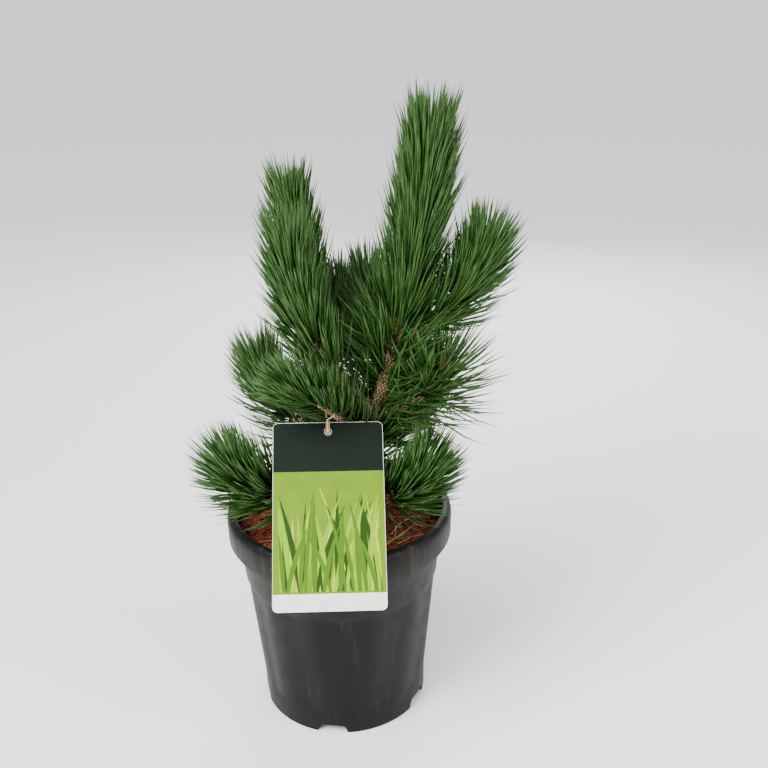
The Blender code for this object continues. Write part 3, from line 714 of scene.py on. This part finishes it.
def grow_needles(name, path, span, radius, sizes, materials, rng):
    """Pairs of needles set round a stem by the golden angle, joined as one piece."""
    pairs, longest, foot_open, bud_open, shades = NEEDLES[name]
    count = int(pairs * sizes.needle_share)
    share = (np.arange(count) + 0.5) / count
    along, side, up, centre, wide = stem_arrays(path, radius, span, share)
    angle = GOLDEN_ANGLE * np.arange(count) + rng.normal(0, TURN_JITTER, count)
    out = side * np.cos(angle)[:, None] + up * np.sin(angle)[:, None]
    loose = shades == "old"
    spread_deg = LOOSE_SPREAD_DEG if loose else OPENING_SPREAD_DEG
    opening = foot_open + (bud_open - foot_open) * share**OPENING_CURVE + rng.normal(0, spread_deg, count)
    opening = np.radians(np.clip(opening, *OPENING_LIMITS_DEG))
    roots = centre + out * (wide * ROOT_PLACE)[:, None]
    turns = (along + np.array([0, 0, 1])) / 2 * (LOOSE_UPTURN if loose else 1)
    stray = LOOSE_WANDER if loose else WANDER
    verts, owners = [], []
    for sign in (-1, 1):
        spread = unit(np.cross(along, out)) * (sign * rng.uniform(*PAIR_SPREAD, count))[:, None]
        wander = rng.normal(0, stray, (count, 3))
        starts = unit(along * np.cos(opening)[:, None] + out * np.sin(opening)[:, None] + spread + wander)
        lengths = longest * MM * rng.uniform(*LENGTH_RANGE, count) * (1 - TIP_SHORTENING * share**3)
        rows, faces, centres = needle_arrays(roots, starts, turns, lengths, sizes.needle_width, rng)
        keep = clear_rows(centres)
        keep &= ~((out[:, 1] < FRONT_FACING) & (rng.uniform(size=count) < FRONT_GAPS.get(name, 0)))
        keep &= ~((share < THINNED_BELOW) & (rng.uniform(size=count) < THINNED_SHARE))
        verts.append(rows[keep])
        owners.append(np.arange(count)[keep])
    dealt = deal_greens(shades, share, angle, rng)[np.concatenate(owners)]
    foot_shade_green = np.array([GREENS.index(FOOT_SHADE_GREENS[green]) for green in GREENS])
    by_face = np.repeat(dealt[:, None], len(faces), axis=1)
    # A needle's first triangles, its foot's cap and its first length, have the darker green: painted shade
    # inside the brush
    by_face[:, :FOOT_SHADE_TRIANGLES] = foot_shade_green[dealt][:, None]
    mesh = joined(f"sprays_{name}", np.concatenate(verts), faces, by_face.ravel())
    mesh.shade_smooth()
    piece(f"sprays_{name}", mesh, materials, [f"needles_{name}"])


def bough_radius(name):
    """A bough's radius, even from its foot to its bud."""
    foot, bud = BOUGHS[name]["radii"]
    return lambda t: (foot + (bud - foot) * t) * MM


def lathe(rows, columns, place):
    """A turned shape from rows of facts, the first and the last on the axis; place gives each point."""
    bm = bmesh.new()
    first, last = bm.verts.new(place(rows[0], 0)), bm.verts.new(place(rows[-1], 0))
    angles = [math.tau * k / columns for k in range(columns)]
    rings = [[bm.verts.new(place(row, angle)) for angle in angles] for row in rows[1:-1]]
    for k in range(columns):
        j = (k + 1) % columns
        bm.faces.new((first, rings[0][j], rings[0][k]))
        bm.faces.new((last, rings[-1][k], rings[-1][j]))
        for low, high in zip(rings, rings[1:]):
            bm.faces.new((low[k], low[j], high[j], high[k]))
    bmesh.ops.recalc_face_normals(bm, faces=bm.faces)
    return bm


def round_front(radius, height, angle):
    """A place at an angle turned from the pot's front towards the right."""
    return Vector((math.sin(angle) * radius, -math.cos(angle) * radius, height))


def notch_lift(angle):
    """How far the foot's edge is lifted at this angle."""
    pitch = 360 / FOOT_NOTCHES
    off = abs((math.degrees(angle) - FIRST_NOTCH_DEG + pitch / 2) % pitch - pitch / 2)
    slope = (NOTCH_DEG_FOOT - NOTCH_DEG_TOP) / 2
    return NOTCH_HEIGHT * min(1, max(0, (NOTCH_DEG_FOOT / 2 - off) / slope))


def pot_inside(inset):
    """The inner wall from the floor's edge up to the collar, as radius and height, drawn in by an inset."""
    return [
        (BASE_RADIUS - WALL - 1 * MM - inset, FLOOR_RISE + WALL),
        (BASE_RADIUS - WALL - inset, 30 * MM),
        (COLLAR_RADIUS - 6.2 * MM - inset, 142 * MM),
        (COLLAR_RADIUS - 2.4 * MM - inset, 168 * MM),
    ]


def pot_section():
    """The pot's section from under its middle out, up and in: radius, height, what changes round it."""
    rim = ((0.5, 28), (0, 8), (0.4, 4.7), (1.6, 2.4), (3.2, 0.7))
    inside = reversed(pot_inside(0))
    return [
        (0, 0, ""),
        (BOSS_RADIUS, 0, ""),
        (BOSS_RADIUS + 4 * MM, FLOOR_RISE, ""),
        (BASE_RADIUS - 2 * WALL, FLOOR_RISE, ""),
        (BASE_RADIUS - WALL, 0, "foot"),
        (BASE_RADIUS, 0, "foot"),
        (BASE_RADIUS + 0.4 * MM, 24 * MM, ""),
        (BASE_RADIUS + 1 * MM, 32 * MM, "flute"),
        (COLLAR_RADIUS - 3.4 * MM, 138 * MM, "flute"),
        (COLLAR_RADIUS - 3 * MM, 145 * MM, ""),
        (COLLAR_RADIUS - 1 * MM, 149 * MM, ""),
        (COLLAR_RADIUS + 1 * MM, 170 * MM, ""),
        *((RIM_RADIUS - inward * MM, POT_HEIGHT - down * MM, "") for inward, down in rim),
        (RIM_RADIUS - RIM_ROUNDING, POT_HEIGHT, ""),
        (MOUTH_RADIUS + 1.1 * MM, POT_HEIGHT, ""),
        (MOUTH_RADIUS, POT_HEIGHT - 0.8 * MM, ""),
        (MOUTH_RADIUS - 1.5 * MM, POT_HEIGHT - 22 * MM, ""),
        *((radius, height, "") for radius, height in inside),
        (0, FLOOR_RISE + WALL, ""),
    ]


def pot_place(row, angle):
    """A place on the pot, with the foot's notches and the wall's panels."""
    radius, height, change = row
    if change == "foot":
        height += notch_lift(angle)
    if change == "flute":
        radius -= FLUTE_DEPTH * (0.5 + 0.5 * math.cos(FLUTES * angle))
    return round_front(radius, height, angle)


def drill(centre):
    """A short round bar that cuts one drain hole."""
    low, high = DRILL_SPAN
    rows = ((0, low), (DRAIN_RADIUS, low), (DRAIN_RADIUS, high), (0, high))
    bm = lathe(rows, DRILL_COLUMNS, lambda row, turn: centre + round_front(*row, turn))
    bmesh.ops.triangulate(bm, faces=bm.faces)
    return mesh_from("drill", bm)


def cut(mesh, cutter):
    """The mesh with the cutter's volume taken out."""
    body, tool = placed("body", mesh), placed("tool", cutter)
    change = body.modifiers.new("cut", "BOOLEAN")
    change.solver = "MANIFOLD"
    change.object = tool
    bpy.context.view_layer.update()
    done = bpy.data.meshes.new_from_object(body.evaluated_get(bpy.context.evaluated_depsgraph_get()))
    for made in (body, tool):
        bpy.data.objects.remove(made)
    return done


class PINE_OT_pot(bpy.types.Operator):
    """The nursery pot: fluted wall, notched foot and drain holes"""

    bl_idname = "pine.pot"
    bl_label = "Pot"

    def execute(self, context):
        bm = lathe(pot_section(), POT_COLUMNS, pot_place)
        inner = (edge for edge in bm.edges if len(edge.link_faces) == 2)
        sharp = [edge for edge in inner if edge.calc_face_angle() > math.radians(SOFTENED_ABOVE_DEG)]
        bmesh.ops.bevel(bm, geom=sharp, offset=SOFT_EDGE, segments=2, affect="EDGES", clamp_overlap=True)
        bmesh.ops.triangulate(bm, faces=bm.faces)
        wall = mesh_from("pot_wall", bm)
        for k in range(FOOT_NOTCHES):
            angle = math.radians(FIRST_NOTCH_DEG) + math.tau * (k + 0.5) / FOOT_NOTCHES
            wall = cut(wall, drill(round_front(DRAIN_CIRCLE, 0, angle)))
        wall.shade_smooth()
        wall.set_sharp_from_angle(angle=math.radians(SHARP_ABOVE_DEG))
        plastic = moulded_plastic(tuple(context.scene.pine_colours.plastic))
        piece("pot_shell", wall, [plastic], ["pot"])
        return {"FINISHED"}


def mix_top(x, y):
    """Height of the potting mix's uneven top."""
    spot = Vector((x, y, 0)) / LUMP_SIZE
    mound = MOUND_HEIGHT * math.exp(-((x * x + y * y) / MOUND_RADIUS**2))
    lumps = LUMP_HEIGHT * noise.noise(spot)
    grain = GRAIN_HEIGHT * noise.noise(spot * GRAIN_FINER)
    return SOIL_HEIGHT - SETTLED + lumps + grain + mound


def mix_section():
    """The mix's section from the middle of its underside, up inside the wall and in over its top."""
    (edge, floor), *side = pot_inside(MIX_INSET)
    floor += GAP
    shoulder = (MOUTH_RADIUS - 2.3 * MM, POT_HEIGHT - 24 * MM)
    top = [(k * MIX_RING_STEP, SOIL_HEIGHT) for k in range(MIX_RINGS, 1, -1)]
    return [(0, floor), (edge, floor), *side, shoulder, *top, (0, SOIL_HEIGHT)]


def mix_place(row, angle):
    """A place on the mix. The rows at the soil's height follow its uneven top."""
    spot = round_front(*row, angle)
    if row[1] == SOIL_HEIGHT:
        spot.z = mix_top(spot.x, spot.y)
    return spot


def scatter(name, count, materials, rng):
    """Loose strips on the mix within the pot's mouth, each curled its own way, joined as one piece."""
    length, width, above, slope = LITTER[name]
    radius = LITTER_RADIUS * np.sqrt(rng.uniform(0, 1, count))
    angle = rng.uniform(0, math.tau, count)
    x, y = np.sin(angle) * radius, -np.cos(angle) * radius
    z = np.array([mix_top(a, b) for a, b in zip(x, y)]) + rng.uniform(*above, count) * MM
    heading = rng.uniform(0, math.tau, count)
    starts = unit(np.stack([np.cos(heading), np.sin(heading), rng.normal(0, slope, count)], 1))
    turns = rng.normal(0, LITTER_CURL, (count, 3)) * np.array(LITTER_FLATNESS)
    lengths = rng.uniform(*length, count) * MM
    widths = rng.uniform(*width, count) * MM
    rows, faces, centres = needle_arrays(np.stack([x, y, z], 1), starts, turns, lengths, widths, rng)
    keep = (np.hypot(centres[..., 0], centres[..., 1]) < LITTER_LIMIT).all(axis=1)
    keep &= (centres[..., 2] > SOIL_HEIGHT - LITTER_DEPTH).all(axis=1)
    rows = rows[keep]
    dealt = rng.integers(0, len(materials), len(rows))
    piece(name, joined(name, rows, faces, np.repeat(dealt, len(faces))), materials)


class PINE_OT_potting_mix(bpy.types.Operator):
    """The potting mix: its uneven body, loose fibres and chips, and fallen needles"""

    bl_idname = "pine.potting_mix"
    bl_label = "Potting mix"

    def execute(self, context):
        sizes, colours = context.scene.pine_sizes, context.scene.pine_colours
        mix = tuple(colours.mix)
        bm = lathe(mix_section(), MIX_COLUMNS, mix_place)
        # The mix's body is darker than its fibres: partly the mix's own damp colour, partly painted shade in
        # the gaps between fibres
        body = fibre(scaled(mix, 0.55), "damp")
        piece("mix_body", bm, [body], ["potting_mix"]).data.shade_smooth()
        strips = [fibre(mix, "rusty"), fibre(scaled(mix, 1.9), "dry"), fibre(scaled(mix, 0.5), "dark")]
        dead = [waxy_needle(tuple(getattr(colours, name)), f"fallen_{name}") for name in ("straw", "olive")]
        rng = np.random.default_rng(SEED)
        scatter("mix_fibres", sizes.fibres, strips, rng)
        scatter("mix_chips", sizes.fibres // FIBRES_TO_A_CHIP, strips, rng)
        scatter("fallen_needles", FALLEN_NEEDLES, dead, rng)
        return {"FINISHED"}


def stem_path(low, high):
    """The trunk's axis between two heights in millimetres, from 0 to 1."""
    return lambda t: trunk_point(low + (high - low) * t)[0]


def stem_radius(low, high):
    """The trunk's radius between two heights in millimetres, from 0 to 1."""
    return lambda t: trunk_point(low + (high - low) * t)[1]


def bud_shape(size):
    """Radius along a bud: swollen low down, drawn to a point."""
    return lambda t: size * (math.sin(math.pi * min(1, 0.28 + t * 0.72)) ** 0.8 * 1.15 + 0.02)


def bud_line(path):
    """The line of the bud at a stem's end, from a little way inside the wood."""
    foot, along = path(1), tangent(path, 1)
    return lambda t: foot + along * (BUD_LENGTH * (t - BUD_SINK))


class PINE_OT_bark(bpy.types.Operator):
    """The trunk, the boughs and their buds"""

    bl_idname = "pine.bark"
    bl_label = "Bark"

    def execute(self, context):
        relief = context.scene.pine_sizes.bark_relief
        bark = scaly_bark(tuple(context.scene.pine_colours.bark))
        # The buds' scales take the same darker low gaps, painted shade in part
        scales = scaly_bark(srgb("#9A6338"))
        scales.name = "resinous_bud_scales"
        low, high = TRUNK[0][0], TRUNK[-1][0]
        stems = {"trunk": (stem_path(low, high), stem_radius(low, high), (high - low) * MM, TRUNK_SIDES)}
        for name in BOUGHS:
            path = bough_path(name)
            stems[f"bough_{name}"] = (path, bough_radius(name), (path(1) - path(0)).length, BOUGH_SIDES)
        for name, (path, radius, length, sides) in stems.items():
            mesh = bark_tube(f"bark_{name}", path, radius, length, relief, sides)
            mesh.shade_smooth()
            piece(f"bark_{name}", mesh, [bark], [name])
            shape, reach = bud_shape(radius(1) * BUD_SWELL), BUD_LENGTH * BUD_FINENESS
            mesh = bark_tube(f"bud_{name}", bud_line(path), shape, reach, relief * BUD_RELIEF, BUD_SIDES)
            mesh.shade_smooth()
            piece(f"bud_{name}", mesh, [scales])
        return {"FINISHED"}


class PINE_OT_needles(bpy.types.Operator):
    """Every needle, in pairs round the shoots"""

    bl_idname = "pine.needles"
    bl_label = "Needles"

    def execute(self, context):
        sizes, colours = context.scene.pine_sizes, context.scene.pine_colours
        greens = [waxy_needle(tuple(getattr(colours, name)), name) for name in GREENS]
        rng = np.random.default_rng(SEED)
        for name in BOUGHS:
            span = (BOUGHS[name]["bare"] - START_LOWER.get(name, OTHERS_START_LOWER), 1.0)
            grow_needles(name, bough_path(name), span, bough_radius(name), sizes, greens, rng)
        for name, heights in TRUNK_SPANS.items():
            path, radius = stem_path(*heights), stem_radius(*heights)
            grow_needles(name, path, (0, 1), radius, sizes, greens, rng)
        return {"FINISHED"}


def slab(bm, loops, low, high):
    """A thin plate on the label between two levels, from its outer loop and any holes, added to bm."""
    seat, side, up, out = label_frame()
    flat = bmesh.new()
    edges = []
    for loop in loops:
        verts = [flat.verts.new((u, v, 0)) for u, v in loop]
        edges += [flat.edges.new(pair) for pair in zip(verts, verts[1:] + verts[:1])]
    bmesh.ops.triangle_fill(flat, use_beauty=True, edges=edges)
    flat.verts.index_update()
    spots = [seat + side * v.co.x + up * v.co.y for v in flat.verts]
    bottom = [bm.verts.new(spot + out * low) for spot in spots]
    top = [bm.verts.new(spot + out * high) for spot in spots]
    for face in flat.faces:
        for level in (bottom, top):
            bm.faces.new([level[v.index] for v in face.verts])
    for edge in flat.edges:
        if len(edge.link_faces) == 1:
            a, b = (v.index for v in edge.verts)
            bm.faces.new((bottom[a], bottom[b], top[b], top[a]))
    flat.free()
    return bm


def rounded(left, right, low, high, corners):
    """A rectangle's loop. The corner radii go from the lower right round to the lower left."""
    loop = []
    middles = ((right, low, 1, -1), (right, high, 1, 1), (left, high, -1, 1), (left, low, -1, -1))
    for k, ((u, v, across, upward), size) in enumerate(zip(middles, corners)):
        for step in range(9 if size else 1):
            angle = math.pi / 2 * (k - 1 + step / 8)
            turn = (math.cos(angle) * size, math.sin(angle) * size) if size else (0, 0)
            loop.append((u - across * size + turn[0], v - upward * size + turn[1]))
    return loop


def blade(u, v, lean_deg, length, width):
    """A pointed leaf's loop, growing from a place and bending over."""
    left, right = [], []
    for k in range(9):
        t = k / 8
        lean = math.radians(lean_deg * (0.55 + 0.45 * t))
        mid = (u + math.sin(lean) * length * t, v + math.cos(lean) * length * t)
        half = width / 2 * (math.sin(math.pi * (0.2 + 0.8 * t)) if k < 8 else 0)
        left.append((mid[0] - math.cos(lean) * half, mid[1] + math.sin(lean) * half))
        right.append((mid[0] + math.cos(lean) * half, mid[1] - math.sin(lean) * half))
    return right + left[-2::-1]


def circle(v, radius):
    """A round loop on the label's middle line."""
    angles = (math.tau * k / HOLE_SIDES for k in range(HOLE_SIDES))
    return [(math.cos(a) * radius, v + math.sin(a) * radius) for a in angles]


def tie_points():
    """The string's closed line: through the hole, over the top edge and round the left middle bough."""
    seat, _, up, out = label_frame()
    hole, edge = seat + up * (LABEL_ABOVE_RIM - HOLE_INSET), seat + up * LABEL_ABOVE_RIM
    path = bough_path("left_mid")
    bough, along = path(TIE_PLACE), tangent(path, TIE_PLACE)
    away = (bough - edge) - along * (bough - edge).dot(along)
    away.normalize()
    turn = along.cross(away).normalized()
    if turn.dot(out) < 0:
        turn = -turn
    ring = bough_radius("left_mid")(TIE_PLACE) + RING_CLEARANCE
    return [
        hole + out * 0.5 * MM,
        hole + up * 3 * MM + out * 2.4 * MM,
        edge + up * 1.5 * MM + out * 3 * MM,
        bough + turn * ring * 1.15 - away * ring * 0.5,
        bough + away * ring * 0.8 + turn * ring * 0.8,
        bough + away * ring * 0.8 - turn * ring * 0.8,
        bough - turn * ring * 1.15 - away * ring * 0.5,
        edge - out * 4 * MM + up * 1 * MM,
        hole - out * 3 * MM + up * 2 * MM,
    ]


def closed_curve(points, count):
    """A smooth closed line through the points, as a count of places along it."""
    places = []
    for k in range(count):
        i, t = divmod(k / count * len(points), 1)
        a, b, c, d = (points[(int(i) + j - 1) % len(points)] for j in range(4))
        bend = (2 * a - 5 * b + 4 * c - d) * t**2 + (3 * b - a - 3 * c + d) * t**3
        places.append(0.5 * (2 * b + (c - a) * t + bend))
    return places


class PINE_OT_label(bpy.types.Operator):
    """The hanging card with a plain leaf pattern, its strap and its string"""

    bl_idname = "pine.label"
    bl_label = "Label"

    def execute(self, context):
        half, top, foot = LABEL_WIDTH / 2, LABEL_ABOVE_RIM, LABEL_ABOVE_RIM - LABEL_LENGTH
        header, strip = top - HEADER_SHARE * LABEL_LENGTH, foot + STRIP_SHARE * LABEL_LENGTH
        hole = top - HOLE_INSET
        loops = [rounded(-half, half, foot, top, [LABEL_CORNER] * 4), circle(hole, HOLE_RADIUS)]
        card = slab(bmesh.new(), loops, -LABEL_THICK, 0)
        piece("card_stock", card, [printed_card("white", "#F4F2EA")], ["label_card"])
        sides, corner = (CARD_EDGE - half, half - CARD_EDGE), LABEL_CORNER - CARD_EDGE
        band = rounded(*sides, header, top - CARD_EDGE, (0, corner, corner, 0))
        made = slab(bmesh.new(), [band, circle(hole, HOLE_RADIUS + CARD_EDGE)], 0, INK)
        piece("card_header", made, [printed_card("dark_green", "#07170C")])
        made = slab(bmesh.new(), [rounded(*sides, strip, header, (0, 0, 0, 0))], 0, INK)
        piece("card_field", made, [printed_card("leaf_green", "#688C12")])
        self.leaves(half, strip + LEAF_FOOT)
        self.string()
        self.strap()
        return {"FINISHED"}

    def leaves(self, half, foot):
        """The field's leaves, growing up from a line across the card."""
        rng = np.random.default_rng(SEED)
        level = INK
        for name, code in LEAF_INKS.items():
            made = bmesh.new()
            for k in range(LEAVES_IN_A_ROW):
                level += LEAF_LIFT
                u = (k - (LEAVES_IN_A_ROW - 1) / 2) * LEAF_PITCH + rng.uniform(-LEAF_JITTER, LEAF_JITTER)
                length = rng.uniform(*LEAF_LENGTHS)
                aim = u + rng.uniform(-LEAF_LEAN, LEAF_LEAN)
                aim = min(max(aim, LEAF_MARGIN - half), half - LEAF_MARGIN)
                lean = math.degrees(math.asin((aim - u) / length))
                leaf = blade(u, foot, lean, length, rng.uniform(*LEAF_WIDTHS))
                slab(made, [leaf], INK, level)
            piece(f"card_leaves_{name}", made, [printed_card(name, code)])

    def string(self):
        """The twisted string from the card to the bough."""
        places = closed_curve(tie_points(), STRING_STEPS)
        verts = []
        for k, spot in enumerate(places):
            ahead = (places[(k + 1) % STRING_STEPS] - places[k - 1]).normalized()
            first, second = frame_round(ahead)
            for i in range(STRING_SIDES):
                angle = math.tau * i / STRING_SIDES
                twist = math.sin(2 * angle + math.tau * k * STRING_TURNS / STRING_STEPS)
                reach = STRING_RADIUS * (1 + STRING_TWIST * twist)
                verts.append(tuple(spot + (first * math.cos(angle) + second * math.sin(angle)) * reach))
        mesh = array_mesh("tie_string", verts, tube_faces(STRING_STEPS, STRING_SIDES, closed=True))
        mesh.shade_smooth()
        twine, tree, shader = finish("twisted_paper_twine", srgb("#CFC4A6"), 0.85)
        bumped(tree, shader, place_noise(tree, 0.5), 0.0001)
        piece("tie_string", mesh, [twine], ["label_tie"])

    def strap(self):
        """The flat strap over the card's top edge."""
        seat, side, up, out = label_frame()
        verts = []
        for k in range(STRAP_STEPS):
            high, deep = math.sin(math.tau * k / STRAP_STEPS), math.cos(math.tau * k / STRAP_STEPS)
            spot = seat + up * (LABEL_ABOVE_RIM - STRAP_BELOW_EDGE + high * STRAP_TALL)
            spot += out * (deep * STRAP_DEEP - LABEL_THICK / 2)
            normal = (up * high * STRAP_DEEP + out * deep * STRAP_TALL).normalized()
            for across, lift in ((-1, 0), (1, 0), (1, 1), (-1, 1)):
                corner = spot + side * (across * STRAP_HALF_WIDTH) + normal * (lift * STRAP_THICK)
                verts.append(tuple(corner))
        mesh = array_mesh("tie_strap", verts, tube_faces(STRAP_STEPS, 4, closed=True))
        strap, tree, shader = finish("moulded_tan_polythene_strap", srgb("#A98B5D"), 0.45)
        bumped(tree, shader, place_noise(tree, 1.5), 0.00005)
        piece("tie_strap", mesh, [strap])


class PINE_OT_stage(bpy.types.Operator):
    """The pale floor, the soft lights and the camera"""

    bl_idname = "pine.stage"
    bl_label = "Stage"

    def execute(self, context):
        self.lay_floor()
        self.hang_lights(context.scene)
        self.set_camera(context.scene)
        return {"FINISHED"}

    def lay_floor(self):
        bm = bmesh.new()
        bmesh.ops.create_grid(bm, x_segments=1, y_segments=1, size=FLOOR_HALF)
        floor = placed("floor", mesh_from("floor", bm))
        floor.location.z = -FLOOR_BELOW
        floor.data.materials.append(finish("matt_studio_paper", srgb("#F8F8F6"), 0.9)[0])

    def hang_lights(self, scene):
        aim = Vector(LIGHTS_AIM)
        for name, (place, size, power) in LIGHTS.items():
            lamp = bpy.data.lights.new(name, "AREA")
            lamp.size = size
            lamp.energy = power
            holder = placed(name, lamp)
            holder.location = place
            holder.rotation_euler = (aim - Vector(place)).to_track_quat("-Z", "Y").to_euler()
        wide = bpy.data.lights.new("overhead", "SUN")
        wide.angle = math.radians(OVERHEAD_SPREAD_DEG)
        wide.energy = OVERHEAD_STRENGTH
        holder = placed("overhead", wide)
        holder.rotation_euler = (*(math.radians(v) for v in OVERHEAD_TILT_DEG), 0)
        world = bpy.data.worlds.new("pale_studio")
        world.use_nodes = True
        sky = world.node_tree.nodes["Background"]
        sky.inputs["Color"].default_value = (*srgb("#F4F6F8"), 1)
        sky.inputs["Strength"].default_value = SKY_STRENGTH
        scene.world = world

    def set_camera(self, scene):
        turn, drop, roll = (math.radians(v) for v in (CAMERA_TURN_DEG, CAMERA_DROP_DEG, CAMERA_ROLL_DEG))
        ahead = Vector((math.sin(turn) * math.cos(drop), math.cos(turn) * math.cos(drop), -math.sin(drop)))
        level = ahead.cross(Vector((0, 0, 1))).normalized()
        over = level.cross(ahead)
        right = level * math.cos(roll) + over * math.sin(roll)
        upward = over * math.cos(roll) - level * math.sin(roll)
        lens = bpy.data.cameras.new("camera")
        lens.sensor_width = CAMERA_SENSOR
        lens.lens = CAMERA_LENS
        camera = placed("camera", lens)
        turned = Matrix((right, upward, -ahead)).transposed().to_4x4()
        camera.matrix_world = Matrix.Translation(CAMERA_PLACE) @ turned
        scene.camera = camera


STEPS = (PINE_OT_pot, PINE_OT_potting_mix, PINE_OT_bark, PINE_OT_needles, PINE_OT_label, PINE_OT_stage)


class PINE_PT_panel(bpy.types.Panel):
    """Sizes, colours and a button for each piece"""

    bl_idname = "PINE_PT_panel"
    bl_label = "Pine"
    bl_space_type = "VIEW_3D"
    bl_region_type = "UI"
    bl_category = "Pine"

    def draw(self, context):
        for group in (context.scene.pine_sizes, context.scene.pine_colours):
            for name in group.__annotations__:
                self.layout.prop(group, name)
        for step in STEPS:
            self.layout.operator(step.bl_idname)


CLASSES = (PineSizes, PineColours, *STEPS, PINE_PT_panel)


def register():
    for made in CLASSES:
        bpy.utils.register_class(made)
    bpy.types.Scene.pine_sizes = PointerProperty(type=PineSizes)
    bpy.types.Scene.pine_colours = PointerProperty(type=PineColours)


def unregister():
    del bpy.types.Scene.pine_colours
    del bpy.types.Scene.pine_sizes
    for made in reversed(CLASSES):
        bpy.utils.unregister_class(made)


def main():
    register()
    bpy.ops.pine.pot()
    bpy.ops.pine.potting_mix()
    bpy.ops.pine.bark()
    bpy.ops.pine.needles()
    bpy.ops.pine.label()
    bpy.ops.pine.stage()


if __name__ == "__main__":
    main()
